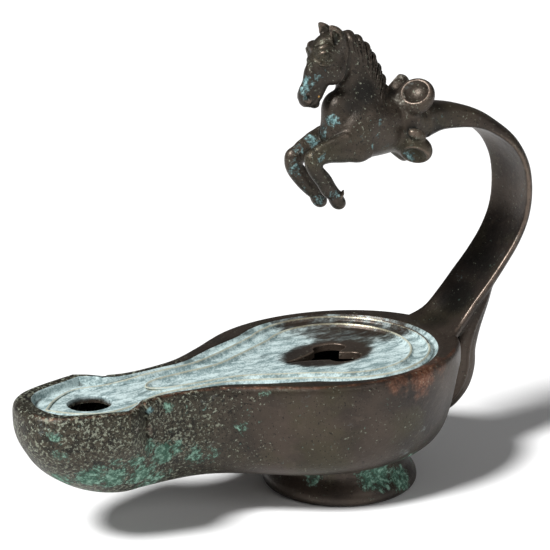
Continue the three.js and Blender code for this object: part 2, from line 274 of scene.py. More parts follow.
# %% The dished disc inside them
DISH = 0.55
disc_edge = outward(inner_ridge, -1.1)
disc_rings = []
for reach in np.linspace(0.93, 0.04, 14):
    keel = np.clip(disc_edge[:, 0], -60, -1)
    half = np.c_[lerp(keel, disc_edge[:, 0], reach), disc_edge[:, 1] * reach]
    disc_rings.append(ring(half, 42.05 - DISH * (1 - reach**2)))
vessel = to_object("vessel", *loft([*hull, *top_rings[1:], *disc_rings]))
print("vessel faces", len(vessel.data.polygons))

# %% [markdown]
# ## The foot
# The foot was turned on a lathe, so it is a profile spun round the axis: a rolled ring, a recess with two
# fine turning grooves beneath, and a boss in the middle that stands level with the ring.

# %% Spun profile of the foot
FOOT_PROFILE = [
    (0.01, 0), (5.2, 0), (6, 0.2), (7.2, 1.8), (9.5, 2.1), (10, 1.7), (10.5, 2.1), (13.5, 2.2), (14, 1.8),
    (14.5, 2.2), (17.3, 2.2), (18.6, 1.2), (19.4, 0.1), (20.4, 0), (22.4, 0), (23.3, 0.35), (23.9, 1.1),
    (24.1, 2.1), (23.7, 3.7), (22.6, 5.2), (21.4, 6.5), (20.8, 7.6), (20.6, 8.7), (20.7, 10.2), (21, 12.6),
]
SPOKES = 128
profile = batten(FOOT_PROFILE, 3 * len(FOOT_PROFILE))
profile = np.vstack([profile, [(12, 12.2), (0.01, 12)]])
profile[:, 1] = np.maximum(profile[:, 1], 0)
turn = np.arange(SPOKES) / SPOKES * 2 * np.pi
foot_rings = [np.c_[r * np.cos(turn), r * np.sin(turn), np.full(SPOKES, z)] for r, z in profile]
foot = to_object("foot", *loft(foot_rings))
print("foot faces", len(foot.data.polygons))

# %% [markdown]
# ## The hollow inside and the two holes
# The lamp is a vessel: oil goes in by the ivy-leaf hole and the wick comes out of the oval one. Three cutters
# are made, an inner hull and two plugs whose outlines open out at the top, so that the cut edges are rounded.

# %% Cutters
CAVITY_TOP = 39.3
inner_wall = outward(soft_hull, OVERHANG - WALL)
inner_turns = np.radians(np.linspace(89, 0, 20))
cavity_rings = [hull_level(inner_wall, inner_wall, turn, CAVITY_TOP - 2.5, WALL) for turn in inner_turns]
cavity_rings.append(ring(outward(inner_wall, -1.2), CAVITY_TOP - 0.7))
cavity_rings.append(ring(outward(inner_wall, -3.4), CAVITY_TOP))
cavity = to_object("cavity", *loft(cavity_rings))


def plug(name, half, surface, rounding):
    """A plug through the top: straight below, opening out by the rounding at the surface."""
    rows = [(0, 36.5), (0, surface - rounding)]
    rows += [(rounding * (1 - math.cos(a)), surface - rounding * (1 - math.sin(a))) for a in (0.5, 1.0, 1.3)]
    rows += [(rounding * 1.1, surface + 0.3), (rounding * 1.1, surface + 3)]
    return to_object(name, *loft([ring(outward(half, grow), z) for grow, z in rows]))


def bezier(a, b, c, d, count):
    t = np.linspace(0, 1, count)[:, None]
    a, b, c, d = (np.array(p, float) for p in (a, b, c, d))
    return a * (1 - t) ** 3 + 3 * b * t * (1 - t) ** 2 + 3 * c * t**2 * (1 - t) + d * t**3


leaf = np.vstack([
    bezier((-0.5, 0), (1, 1.8), (3.2, 1.6), (3.9, 3.6), 14),
    bezier((3.9, 3.6), (4.6, 6), (1.8, 8.2), (-1.5, 8.2), 18)[1:],
    bezier((-1.5, 8.2), (-4, 8.2), (-6.2, 7.4), (-6.5, 4.6), 14)[1:],
    bezier((-6.5, 4.6), (-10, 2.2), (-15, 0.9), (-21.3, 0), 24)[1:],
])
leaf_hole = plug("leaf hole", leaf, surface=41.6, rounding=0.5)
WICK_HOLE = {"x": -84.9, "length": 6.3, "width": 6.0, "squareness": 0.9}
around = np.linspace(0, np.pi, 48)
wick_x = WICK_HOLE["x"] + WICK_HOLE["length"] * np.cos(around)
wick_y = WICK_HOLE["width"] * np.sin(around) ** WICK_HOLE["squareness"]
wick_hole = plug("wick hole", np.c_[wick_x, wick_y], surface=41.55, rounding=0.45)
print("cutters", cavity.name, leaf_hole.name, wick_hole.name)

# %% [markdown]
# ## Digital wax
# The field holds, for every small cell, the distance to the wax: positive outside, negative inside. Adding a
# piece keeps the smaller of two distances, and a blend rounds the join as a thumb would. Cutting keeps the
# larger of the field and the tool's negative. Nothing else gives a limb that grows out of a body without
# a seam, so this is how the handle and the horse are made.


# %% The block of wax
class Wax:
    def __init__(self, low, high, cell, band=9):
        self.cell, self.band = cell, band * cell
        self.first = np.floor(np.array(low) / cell).astype(int)
        count = np.ceil(np.array(high) / cell).astype(int) - self.first
        self.field = np.full(count, self.band, np.float32)

    def block(self, low, high):
        a = np.clip(np.floor(np.array(low) / self.cell).astype(int) - self.first, 0, None)
        b = np.minimum(np.ceil(np.array(high) / self.cell).astype(int) - self.first + 1, self.field.shape)
        where = tuple(slice(i, j) for i, j in zip(a, b))
        axes = [(np.arange(i, j) + f) * self.cell for i, j, f in zip(a, b, self.first)]
        x, y, z = (axis.astype(np.float32) for axis in axes)
        return where, a + self.first, x[:, None, None], y[None, :, None], z[None, None, :]

    def join(self, where, distance, blend):
        old = self.field[where]
        h = np.clip(0.5 + 0.5 * (old - distance) / blend, 0, 1)
        self.field[where] = old + (distance - old) * h - blend * h * (1 - h)

    def carve(self, where, distance, blend):
        old = self.field[where]
        h = np.clip(0.5 - 0.5 * (old + distance) / blend, 0, 1)
        self.field[where] = old + (-distance - old) * h + blend * h * (1 - h)

    def press(self, rings, blend=0.8):
        """Adds a swept bar, through a level set of its skin."""
        points, faces = loft(rings)
        low, high = points.min(0) - self.band, points.max(0) + self.band
        where, first, *_ = self.block(low, high)
        triangles = np.array([t for f in faces for t in ((f[0], f[1], f[2]), (f[0], f[2], f[-1]))[: len(f) - 2]])
        skin = vdb.FloatGrid.createLevelSetFromPolygons(
            points.astype(np.float32),
            triangles=triangles.astype(np.uint32),
            transform=vdb.createLinearTransform(voxelSize=self.cell),
            halfWidth=self.band / self.cell,
        )
        distance = np.zeros(self.field[where].shape, np.float32)
        skin.copyToArray(distance, ijk=tuple(int(v) for v in first))
        self.join(where, distance, blend)

    def tube(self, path, radii, blend=0.3, cut=False, steps=14):
        """A round bead along a bent line, or with cut the groove that a round tool leaves."""
        line = batten(path, steps)
        radius = np.interp(np.linspace(0, 1, steps), np.linspace(0, 1, len(radii)), radii)
        reach = radius.max() + blend + 2 * self.cell
        where, _, x, y, z = self.block(line.min(0) - reach, line.max(0) + reach)
        best = np.full(self.field[where].shape, self.band, np.float32)
        for a, b, ra, rb in zip(line[:-1], line[1:], radius[:-1], radius[1:]):
            d = b - a
            t = ((x - a[0]) * d[0] + (y - a[1]) * d[1] + (z - a[2]) * d[2]) / max(d @ d, 1e-9)
            t = np.clip(t, 0, 1)
            gap = np.sqrt((x - a[0] - t * d[0]) ** 2 + (y - a[1] - t * d[1]) ** 2 + (z - a[2] - t * d[2]) ** 2)
            best = np.minimum(best, gap - (ra + (rb - ra) * t))
        (self.carve if cut else self.join)(where, best, blend)

    def egg(self, centre, radii, blend=0.5, tilt=0.0, cut=False, axes=None):
        """An ellipsoid, tilted by degrees in the plane of symmetry or turned to three axes of its own."""
        c, s = math.cos(math.radians(tilt)), math.sin(math.radians(tilt))
        axes = np.array([(c, 0, s), (0, 1, 0), (-s, 0, c)]) if axes is None else np.array(axes)
        reach = max(radii) + blend + 2 * self.cell
        where, _, x, y, z = self.block(np.array(centre) - reach, np.array(centre) + reach)
        away = (x - centre[0], y - centre[1], z - centre[2])
        across = [sum(g * a for g, a in zip(away, axis)) / r for axis, r in zip(axes, radii)]
        k0 = np.sqrt(sum(g * g for g in across))
        k1 = np.sqrt(sum((g / r) ** 2 for g, r in zip(across, radii)))
        (self.carve if cut else self.join)(where, k0 * (k0 - 1) / np.maximum(k1, 1e-6), blend)

    def side(self, x, z, sign):
        """How far out the surface stands on one side at x, z."""
        i, k = (round(v / self.cell) - self.first[a] for v, a in ((x, 0), (z, 2)))
        column = self.field[i, :, k]
        inside = np.flatnonzero(column < 0)
        if not len(inside):
            return 0.0
        j = inside[-1] if sign > 0 else inside[0]
        out = column[j] / (column[j] - column[j + sign])
        return (j + self.first[1] + sign * out) * self.cell

    def lay(self, places, sign, lift=0.0):
        """Lays x, z places on one side of the wax."""
        return [(x, self.side(x, z, sign) + sign * lift, z) for x, z in places]

    def skin(self):
        grid = vdb.FloatGrid(self.band)
        grid.copyFromArray(self.field, ijk=tuple(int(v) for v in self.first))
        grid.transform = vdb.createLinearTransform(voxelSize=self.cell)
        return grid.convertToQuads()


wax = Wax((-18, -18, 12), (72, 18, 146), 0.36)
print("cells in the block", wax.field.size)

# %% [markdown]
# ## The handle
# A round stem leaves the flower, flattens into a ribbon that is hollow on its inner face, and runs down into
# the rim. Its back goes on as a tongue down the wall, with a fine raised edge.

# %% Ribbon and tongue
RIBBON = [
    (28, 0, 111, 5.4, 5.4), (34, 0, 111.5, 4.4, 4.5), (40, 0, 110.9, 4.6, 3.8), (46.5, 0, 109, 6, 2.9, 0.6),
    (52, 0, 105.9, 7.3, 2.2, 1.2), (58.2, 0, 100.6, 8.8, 1.9, 1.8), (62.3, 0, 93.4, 9.5, 1.8, 2.1),
    (63.6, 0, 85, 9.7, 1.8, 2.2), (62.6, 0, 77, 9.6, 1.8, 2.4), (59.4, 0, 70, 9.5, 1.9, 2.4),
    (54.4, 0, 63.3, 9.5, 2, 2.4), (48.8, 0, 57, 9.7, 2.2, 2.5), (43.6, 0, 51.4, 9.7, 2.4, 2.9),
    (38.4, 0, 46.2, 10.4, 2.4, 3), (32.4, 0, 42.7, 12.8, 2.2, 1.4), (26, 0, 41, 13.4, 1.2, 0.4),
]
TONGUE = [
    (53, 0, 59.6, 7.2, 0.9, 1.4), (48.4, 0, 52.4, 9, 2.8, 1.6), (43.6, 0, 44.4, 9.8, 5, 0.8),
    (41.4, 0, 37.5, 9.9, 6), (41.4, 0, 31.5, 9.5, 6.2), (40.4, 0, 26, 8.6, 6.2), (38.4, 0, 21.2, 6.8, 5.4),
    (36.2, 0, 17.8, 4.4, 4.2), (34.2, 0, 15.6, 1.4, 2),
]
wax.press(sweep(RIBBON, 120, 48, 0.66), blend=0.4)
tongue = sweep(TONGUE, 60, 40, 0.8)
wax.press(tongue, blend=0.6)
for side in (10, 30):
    edge = tongue[4:-6, side]
    wax.tube(edge[::5], [0.3, 0.42, 0.5, 0.5, 0.45, 0.3], blend=0.5, steps=40)
print("handle pressed")

# %% [markdown]
# ## The flower
# Six fat petals lie back from the horse like an open lily's, and its rump runs into them. Each is a flattened
# egg of wax that faces outward and forward, with a smaller egg pushed in for its shallow hollow. The petals
# are not quite evenly spaced and the one on the near side is worn to a knob, so they are placed one by one.

# %% Petals around the stem
CALYX_CENTRE = np.array([22.3, 0, 111.4])
CALYX_OVAL = 0.9
FACE_LEAN = math.radians(41)
PETAL_RADII = np.array([3.9, 5.7, 5.9])
HOLLOW_RADII = np.array([3.1, 4.0, 4.2])
HOLLOW_OUT, HOLLOW_BACK = 3.8, 1.1
PETALS = [(36, 10.0, 1.0), (142, 9.8, 0.93), (204, 9.8, 0.9), (262, 9.6, 0.85), (320, 10.0, 1.0)]
wax.egg((20.5, 0, 111.2), (6.5, 7.4, 9.6), blend=1.0)
wax.egg((26, 0, 111.2), (5.5, 5.8, 6.2), blend=1.5)
petals = []
for turn, out, size in PETALS:
    angle = math.radians(turn)
    radial = np.array([0, -math.sin(angle), math.cos(angle)])
    face = radial * math.cos(FACE_LEAN) - np.array([math.sin(FACE_LEAN), 0, 0])
    width = np.cross(radial, [1, 0, 0])
    axes = np.array([face, width, np.cross(face, width)])
    petals.append((CALYX_CENTRE + radial * [1, CALYX_OVAL, 1] * out, axes, size))
for place, axes, size in petals:
    wax.egg(place, PETAL_RADII * size, blend=1.2, axes=axes)
for place, axes, size in petals:
    pushed = place + (axes[0] * HOLLOW_OUT - axes[2] * HOLLOW_BACK) * size
    wax.egg(pushed, HOLLOW_RADII * size, blend=0.9, cut=True, axes=axes)
wax.egg((20.6, -8.9, 108.8), (3.2, 1.9, 1.7), blend=0.8, tilt=-25)
print("petals", len(petals))

# %% [markdown]
# ## The horse's body
# Trunk, neck, head and legs are pressed together from swept bars. Wide blends at the shoulder and the throat
# let one form grow out of the next, as in wax.

# %% Trunk, neck, head and legs
TRUNK = [
    (29, 0, 110.8, 4.4, 4.6), (23, 0, 110.8, 4.8, 6.6), (18, 0, 111.0, 6.2, 8.6),
    (12.5, 0, 111.4, 7.9, 9.6), (7, 0, 111.8, 8.4, 10), (0, 0, 112, 7.6, 9), (-4, 0, 112.6, 5.4, 6.2),
    (-6.4, 0, 113.2, 2.2, 2.8),
]
NECK = [
    (7, 0, 112, 7.2, 9), (6, 0, 119, 6.4, 8.2), (5, 0, 125, 5.2, 7.2), (3, 0, 130.3, 4.3, 6.2),
    (-0.2, 0, 135, 3.8, 5), (-3.4, 0, 137.8, 3, 3.4),
]
HEAD = [
    (-1.4, 0, 138.4, 2.8, 2.6), (-4.8, 0, 135.8, 4.2, 5.2), (-6.8, 0, 132, 4.2, 5.3), (-8.8, 0, 128.4, 3.6, 4.6),
    (-10.2, 0, 125.1, 3.0, 3.9), (-11.5, 0, 122.8, 3.0, 3.9), (-12.1, 0, 120.6, 2.7, 3), (-12.2, 0, 119.2, 1.2, 1.4),
]
FORELEG = [
    (5, 5.4, 108, 3.4, 5.2), (-2, 5.2, 106.8, 3.2, 4.4), (-8.6, 5, 106.2, 2.7, 3.3), (-13, 4.8, 104.6, 2.4, 2.9),
    (-13, 4.7, 101.6, 2.2, 2.7), (-9.9, 4.6, 97.8, 2.1, 2.9), (-7.7, 4.5, 95, 2, 2.5), (-6, 4.5, 93.2, 1.9, 2.2),
    (-5, 4.5, 92, 2.0, 2.2), (-4.4, 4.5, 91.2, 1.4, 1.5),
]
FAR_LEG = np.array([-0.8, 0, -1.3])
wax.press(sweep(TRUNK, 40, 40), blend=1.0)
wax.press(sweep(NECK, 36, 36), blend=2.2)
wax.press(sweep(HEAD, 40, 32), blend=1.0)
NEAR_SHIN = {4: (-12.4, 4.7, 101.4, 2.1, 2.4), 5: (-9.5, 4.6, 97.8, 2.0, 2.5)}
near_leg = [NEAR_SHIN.get(i, row) for i, row in enumerate(FORELEG)]
wax.press(sweep(FORELEG, 56, 28) + FAR_LEG, blend=1.2)
wax.press(sweep(near_leg, 56, 28) * [1, -1, 1], blend=1.2)
LEGS = ((1, FAR_LEG), (-1, np.zeros(3)))
for side, shift in LEGS:
    wax.egg(np.array([-13.6, 4.8 * side, 104.9]) + shift, (2, 2, 2.3), blend=1.0, tilt=35)
    wax.egg(np.array([-4.4, 4.5 * side, 90.6]) + shift, (2.6, 2.3, 2.2), blend=1.0, tilt=-40)
print("horse pressed")


# %% [markdown]
# ## The face
# The head is small, so its features are cut deep, as a caster would: heavy brow and lower lid around an
# almond eye, a round jowl with a groove behind it, a ringed nostril and a parted mouth.

# %% Eyes, jowl, nostrils and mouth
EYE = (-8.9, 134.5)
UPPER_LID = [(-11.1, 134.5), (-10.2, 135.5), (-8.8, 135.9), (-7.4, 135.3), (-6.5, 134.4)]
LOWER_LID = [(-11.1, 134.4), (-10.1, 133.5), (-8.8, 133.2), (-7.4, 133.5), (-6.5, 134.3)]
BROW = [(-11.0, 136.0), (-9.8, 136.9), (-8.0, 137.3), (-6.2, 136.3)]
POUCH = [(-11.4, 133.2), (-10.2, 132.2), (-8.2, 131.9), (-5.8, 132.8)]
CHEEK_EDGE = [(-0.9, 136.2), (-1.5, 131.4), (-2.8, 127.6), (-4.2, 125.8)]
THROAT_GROOVE = [(0.3, 136.2), (-0.3, 131.2), (-1.6, 127), (-3.2, 124.2)]
for s in (1, -1):
    wax.egg((-8.6, 2.9 * s, 135.2), (2.4, 1.7, 2.0), blend=0.9)
    wax.egg((-4.5, 2.3 * s, 129.9), (3.5, 2.3, 4.7), blend=0.8, tilt=-20)
    wax.tube(wax.lay([(-12.2, 131.5), (-11.3, 129.2), (-10.6, 127.4)], s, 0.5), [0.6, 0.9, 0.5], 0.9, cut=True)
    ball = wax.side(*EYE, s)
    brow, upper, lower, pouch = (wax.lay(line, s, lift) for line, lift in
                                 ((BROW, -0.15), (UPPER_LID, -0.05), (LOWER_LID, -0.05), (POUCH, -0.25)))
    wax.egg((EYE[0], ball + 0.5 * s, EYE[1]), (2.3, 1.3, 1.4), blend=0.35, cut=True)
    wax.egg((EYE[0], ball - 0.95 * s, EYE[1]), (1.5, 1.1, 1.05), blend=0.05)
    wax.tube(brow, [0.35, 0.6, 0.7, 0.4], blend=0.7)
    wax.tube(upper, [0.25, 0.4, 0.42, 0.4, 0.25], blend=0.1)
    wax.tube(lower, [0.25, 0.36, 0.38, 0.36, 0.25], blend=0.1)
    wax.tube(pouch, [0.35, 0.6, 0.65, 0.35], blend=0.4)
    under_eye = wax.lay([(-11.2, 132.0), (-9.6, 130.8), (-7.4, 130.6), (-5.6, 131.4)], s, 0.2)
    wax.tube(under_eye, [0.3, 0.55, 0.45, 0.2], 0.4, cut=True)
    edge, groove = wax.lay(CHEEK_EDGE, s, -0.2), wax.lay(THROAT_GROOVE, s, 0.3)
    wax.tube(groove, [0.5, 0.8, 0.8, 0.5], blend=0.8, cut=True, steps=20)
    wax.tube(edge, [0.3, 0.45, 0.45, 0.3], blend=0.4, steps=20)
    wax.egg((-4.3, wax.side(-4.3, 129.8, s), 129.8), (0.8, 0.35, 0.8), blend=0.3)
    crease = wax.lay([(-13.5, 125.4), (-12.2, 125.3), (-10.6, 126.3)], s, 0.15)
    wax.tube(crease, [0.25, 0.45, 0.2], 0.3, cut=True)
    wax.tube(wax.lay([(-13.6, 126.3), (-12.4, 126.2), (-11.0, 127.1)], s, -0.1), [0.2, 0.35, 0.2], 0.3)
    turnings = np.linspace(0, 2 * math.pi, 9)
    nostril = wax.lay([(-13.7 + 0.95 * math.cos(a), 122.5 + 1.15 * math.sin(a)) for a in turnings], s, -0.1)
    hole = wax.side(-13.7, 122.5, s)
    wax.tube(nostril, [0.3, 0.3], blend=0.3, steps=24)
    wax.egg((-13.7, hole, 122.5), (0.6, 0.8, 0.75), blend=0.2, cut=True)
    lips = wax.lay([(-13.0, 119.6), (-11.8, 120.7), (-10.2, 122.6)], s, 0.1)
    wax.tube([(-13.0, 0.4 * s, 118.6), *lips], [0.5, 0.55, 0.5, 0.25], 0.25, cut=True)
wax.egg((-10.2, 0, 120.1), (1.6, 2.1, 1.5), blend=0.25)
print("face cut")

# %% [markdown]
# ## Ears, forelock and mane
# The ears are cupped and stand up. The mane is roached into seven heavy locks whose tips scallop the crest.
# All but the last, at the withers, are combed into strands that lie along the side of the neck.

# %% Ears and forelock
for s in (1, -1):
    ear = sweep(
        [(-3.0, 2.5 * s, 136.2, 1.5, 2.3), (-3.7, 2.8 * s, 138.6, 1.5, 2.5), (-4.8, 3.0 * s, 140.7, 1.2, 2.0),
         (-6.0, 3.0 * s, 142.2, 0.7, 1.1), (-6.8, 3.0 * s, 143.1, 0.2, 0.3)], 24, 24)
    wax.press(ear, blend=0.6)
    cup = [(-5.0, 3.7 * s, 138.0), (-5.2, 3.9 * s, 139.6), (-6.1, 3.6 * s, 141.2)]
    wax.tube(cup, [0.8, 1.15, 0.4], 0.3, cut=True)
for y in (-1.4, -0.5, 0.4, 1.3):
    wax.tube([(-1.5, y * 0.7, 139.8), (-5.0, y, 139.5), (-8.4, y * 1.3, 137.9), (-10.6, y, 135.8)],
             [0.7, 0.8, 0.55, 0.2], 0.3)

# %% Mane
LOCKS = [(1.2, 138.2), (4.0, 136.7), (6.6, 134.4), (8.7, 131.4), (10.6, 128.0), (12.3, 124.6), (13.4, 121.4)]
fall = np.gradient(np.array(LOCKS), axis=0)
fall /= np.linalg.norm(fall, axis=1)[:, None]
for (x0, z0), (tx, tz) in zip(LOCKS, fall):
    wax.egg((x0, 0, z0), (2.2, 2.4, 2.5), blend=0.2, tilt=math.degrees(math.atan2(tz, tx)))
COMB = [(1.2, 0.0), (-0.2, 0.6), (-2.2, 1.9), (-4.6, 4.4)]


def combed(offset, s, lift):
    """One line combed down from each lock but the last, to the side of the neck."""
    lines = []
    for (x0, z0), (tx, tz) in zip(LOCKS[:-1], fall):
        steps = [(n, t + offset * (1 - 0.08 * i)) for i, (n, t) in enumerate(COMB)]
        lines.append(wax.lay([(x0 - tz * n + tx * t, z0 + tx * n + tz * t) for n, t in steps], s, lift))
    return lines


for s in (1, -1):
    beads = [line for offset in (-1.35, 0, 1.35) for line in combed(offset, s, 0.0)]
    parting = combed(2.05, s, 0.1)
    gaps = [line[1:] for offset in (-0.7, 0.7) for line in combed(offset, s, 0.45)]
    for line in beads:
        wax.tube(line, [0.4, 0.75, 0.65, 0.2], blend=0.25)
    for line in gaps:
        wax.tube(line, [0.25, 0.3, 0.25, 0.1], blend=0.15, cut=True)
    for line in parting:
        wax.tube(line, [0.35, 0.5, 0.4, 0.15], blend=0.3, cut=True)
print("locks", len(LOCKS), "beads on a side", len(beads))

# %% [markdown]
# ## Muscles
# Eggs of wax with wide blends fill the shoulder, the elbow and the breast, and a ridge runs on to the forearm.
# A groove marks the tendon of each shin and a thin ring the top of each hoof.

# %% Shoulder, breast and knees
for s, shift in LEGS:
    half = shift * 0.5
    wax.egg(np.array((3.5, 5.6 * s, 113.0)) + half, (7.5, 3.4, 4.4), blend=2.0, tilt=38)
    wax.egg(np.array((1.8, 6.4 * s, 105.2)) + half, (3.4, 2.4, 2.8), blend=1.6)
    ridge = np.array([(-3.5, 7.2 * s, 110.6), (-7, 6.2 * s, 109.2), (-11, 5.2 * s, 107.6)]) + half
    wax.tube(ridge, [1.0, 1.4, 1.0], blend=1.6, steps=20)
    tendon = wax.lay([(-11.6, 103.2), (-9.6, 100), (-7.6, 96.8)], s, 0.2)
    wax.tube(tendon, [0.3, 0.35, 0.2], 0.6, cut=True)
    coronet = [(-6.3, 4.5 * s, 91.2), (-5.3, 6.3 * s, 91.9), (-3.9, 6.4 * s, 93.1), (-2.6, 4.5 * s, 93.8)]
    wax.tube(np.array(coronet) + shift, [0.35, 0.35], 0.5)
wax.egg((-2.2, 0, 117.0), (4.6, 4.8, 6.0), blend=1.6)
points, quads = wax.skin()
print("wax skin", len(points), "points,", len(quads), "quads")

# %% [markdown]
# ## One casting
# The wax skin is thinned where it is plain, then joined to the vessel and the foot, and the hollow and the
# holes are cut. Solid joins leave no hidden faces inside the metal.

# %% Join and cut
HANDLE_TRIANGLES = 118_000


def modified(thing):
    depsgraph = bpy.context.evaluated_depsgraph_get()
    return bpy.data.meshes.new_from_object(thing.evaluated_get(depsgraph))


handle = to_object("handle", points, [tuple(q) for q in quads.tolist()])
thin = handle.modifiers.new("thin", "DECIMATE")
thin.ratio = min(1.0, HANDLE_TRIANGLES / (2 * len(quads)))
joins = [(part, "UNION") for part in (foot, handle)]
cuts = [(part, "DIFFERENCE") for part in (cavity, leaf_hole, wick_hole)]
for other, operation in joins + cuts:
    step = vessel.modifiers.new(other.name, "BOOLEAN")
    step.operation, step.object, step.solver = operation, other, "MANIFOLD"
mesh = modified(vessel)
for part in (vessel, foot, handle, cavity, leaf_hole, wick_hole):
    bpy.data.objects.remove(part)
mesh.name = "lamp_casting"
lamp = bpy.data.objects.new("lamp_casting", mesh)
bpy.context.collection.objects.link(lamp)
triangles = sum(len(p.vertices) - 2 for p in mesh.polygons)
print("casting", len(mesh.vertices), "points,", triangles, "triangles")

# %% Smooth shading, with the crisp edges kept
SHARP = math.cos(math.radians(48))
mesh.polygons.foreach_set("use_smooth", [True] * len(mesh.polygons))
normals = np.zeros(len(mesh.polygons) * 3, np.float32)
mesh.polygons.foreach_get("normal", normals)
normals = normals.reshape(-1, 3)
loop_edges = np.zeros(len(mesh.loops), np.int32)
mesh.loops.foreach_get("edge_index", loop_edges)
loop_faces = np.repeat(np.arange(len(mesh.polygons)), [p.loop_total for p in mesh.polygons])
order = np.argsort(loop_edges, kind="stable")
pairs = loop_faces[order].reshape(-1, 2)
sharp = (normals[pairs[:, 0]] * normals[pairs[:, 1]]).sum(1) < SHARP
mesh.attributes.new("sharp_edge", "BOOLEAN", "EDGE").data.foreach_set("value", sharp)
print("crisp edges", int(sharp.sum()))

# %% [markdown]
# ## Where metal is worn, where dirt stays and where shade is painted
# Patina follows touch: crests are rubbed bright, hollows keep dirt and green, and hollows and sheltered places are
# painted darker as shade. The share of metal in a small
# ball around each point tells them apart: under a half on a crest, over a half in a hollow. A block of
# cells is filled with the metal, blurred, and read back at each point.

# %% Metal share around each point
CELL = 0.55
co = np.zeros(len(mesh.vertices) * 3, np.float32)
mesh.vertices.foreach_get("co", co)
co = co.reshape(-1, 3) / MM
nor = np.zeros(len(mesh.vertices) * 3, np.float32)
mesh.vertices.foreach_get("normal", nor)
nor = nor.reshape(-1, 3)
mesh.calc_loop_triangles()
tri = np.zeros(len(mesh.loop_triangles) * 3, np.int32)
mesh.loop_triangles.foreach_get("vertices", tri)
solid = vdb.FloatGrid.createLevelSetFromPolygons(
    co,
    triangles=tri.reshape(-1, 3).astype(np.uint32),
    transform=vdb.createLinearTransform(voxelSize=CELL),
    halfWidth=3,
)
low = np.floor(co.min(0) / CELL).astype(int) - 12
count = np.ceil(co.max(0) / CELL).astype(int) + 12 - low
metal = np.zeros(count, np.float32)
solid.copyToArray(metal, ijk=tuple(int(v) for v in low))
metal = np.clip(0.5 - metal / CELL, 0, 1)


def blurred(block, radius):
    """Three box blurs along each axis make a soft round one."""
    for axis in (0, 1, 2) * 3:
        margin = [(radius + 1, radius) if a == axis else (0, 0) for a in range(3)]
        padded = np.cumsum(np.pad(block, margin, "edge"), axis)
        n = block.shape[axis]
        upper = np.take(padded, range(2 * radius + 1, 2 * radius + 1 + n), axis)
        lower = np.take(padded, range(0, n), axis)
        block = ((upper - lower) / (2 * radius + 1)).astype(np.float32)
    return block


def read(block, at):
    p = at / CELL - low
    i = np.floor(p).astype(int)
    f = p - i
    value = np.zeros(len(at), np.float32)
    for dx in (0, 1):
        for dy in (0, 1):
            for dz in (0, 1):
                w = np.abs(1 - dx - f[:, 0]) * np.abs(1 - dy - f[:, 1]) * np.abs(1 - dz - f[:, 2])
                value += w * block[i[:, 0] + dx, i[:, 1] + dy, i[:, 2] + dz]
    return value


fine = read(blurred(metal, 1), co + nor * 0.1)
broad = read(blurred(metal, 5), co + nor * 1.5)
crest = smoothstep(0.42 - fine, 0.0, 0.16)
hollow = smoothstep(fine, 0.52, 0.68)
# Sheltered places, with much metal close around, get painted shade.
painted_recess_shade = smoothstep(broad, 0.35, 0.62)
print("share of metal", np.percentile(fine, [5, 50, 95]).round(2), np.percentile(broad, [5, 50, 95]).round(2))

# %% The top, the rim and the inside, told apart in plan
x, y, z = co.T


def gap_to(line, at, limit=6.0):
    """Distance in plan to a line given by its points, up to a limit."""
    best = np.full(len(at), limit)
    for a, b in zip(line[:-1], line[1:]):
        d = b - a
        t = np.clip(((at[:, 0] - a[0]) * d[0] + (at[:, 1] - a[1]) * d[1]) / max(d @ d, 1e-9), 0, 1)
        best = np.minimum(best, np.hypot(at[:, 0] - a[0] - t * d[0], at[:, 1] - a[1] - t * d[1]))
    return best


closed = np.vstack([inner_edge, inner_edge[-2:0:-1] * [1, -1]])
within = np.zeros(len(co), bool)
for a, b in zip(closed, np.roll(closed, -1, 0)):
    crosses = (a[1] > y) != (b[1] > y)
    within ^= crosses & (x < (b[0] - a[0]) * (y - a[1]) / (b[1] - a[1] + 1e-12) + a[0])
top = within & (z > 40.4) & (z < 44.2) & ~((x > 24) & (np.abs(y) < 14) & (z > 43.6))
inside = (z < 40.4) & (z > 12) & (read(blurred(metal, 3), co + nor * 4.0) > 0.02) & within
folded = np.c_[x, np.abs(y)]
rim_gap = np.full(len(co), 6.0)
high = (z > 41.5) & (z < 44.6)
rim_gap[high] = gap_to(outward(shoulder, -0.5), folded[high])
ridge_gap = np.full(len(co), 6.0)
ridge_gap[top] = np.minimum(gap_to(outer_ridge, folded[top]), gap_to(inner_ridge, folded[top]))
print("points on the top", int(top.sum()), "inside", int(inside.sum()))


# %% [markdown]
# ## Patches
# Crusts, soot, painted highlights and painted shade keep to no rule, so each is a soft ball with a place, a radius
# and a strength. The places of most of the green, blue, pale and gold ones were worked out by measuring, then
# rounded and typed in; the gold ones and a few pale ones are painted glints and highlights. The places of most of
# the green, blue, pale and gold ones were worked out by a separate measuring program, then rounded and typed in.
# Those on the far side and beneath, all of the soot and painted shade, and every radius and strength were chosen one
# by one.


# %% Patches of crust, wear, soot, painted highlights and painted shade
def patches(spots):
    """The strongest of several soft balls: x, y, z, radius and strength."""
    best = np.zeros(len(co))
    for px, py, pz, radius, strength in spots:
        gap = np.sqrt((x - px) ** 2 + (y - py) ** 2 + (z - pz) ** 2)
        best = np.maximum(best, strength * (1 - smoothstep(gap, radius * 0.3, radius * 1.5)))
    return best


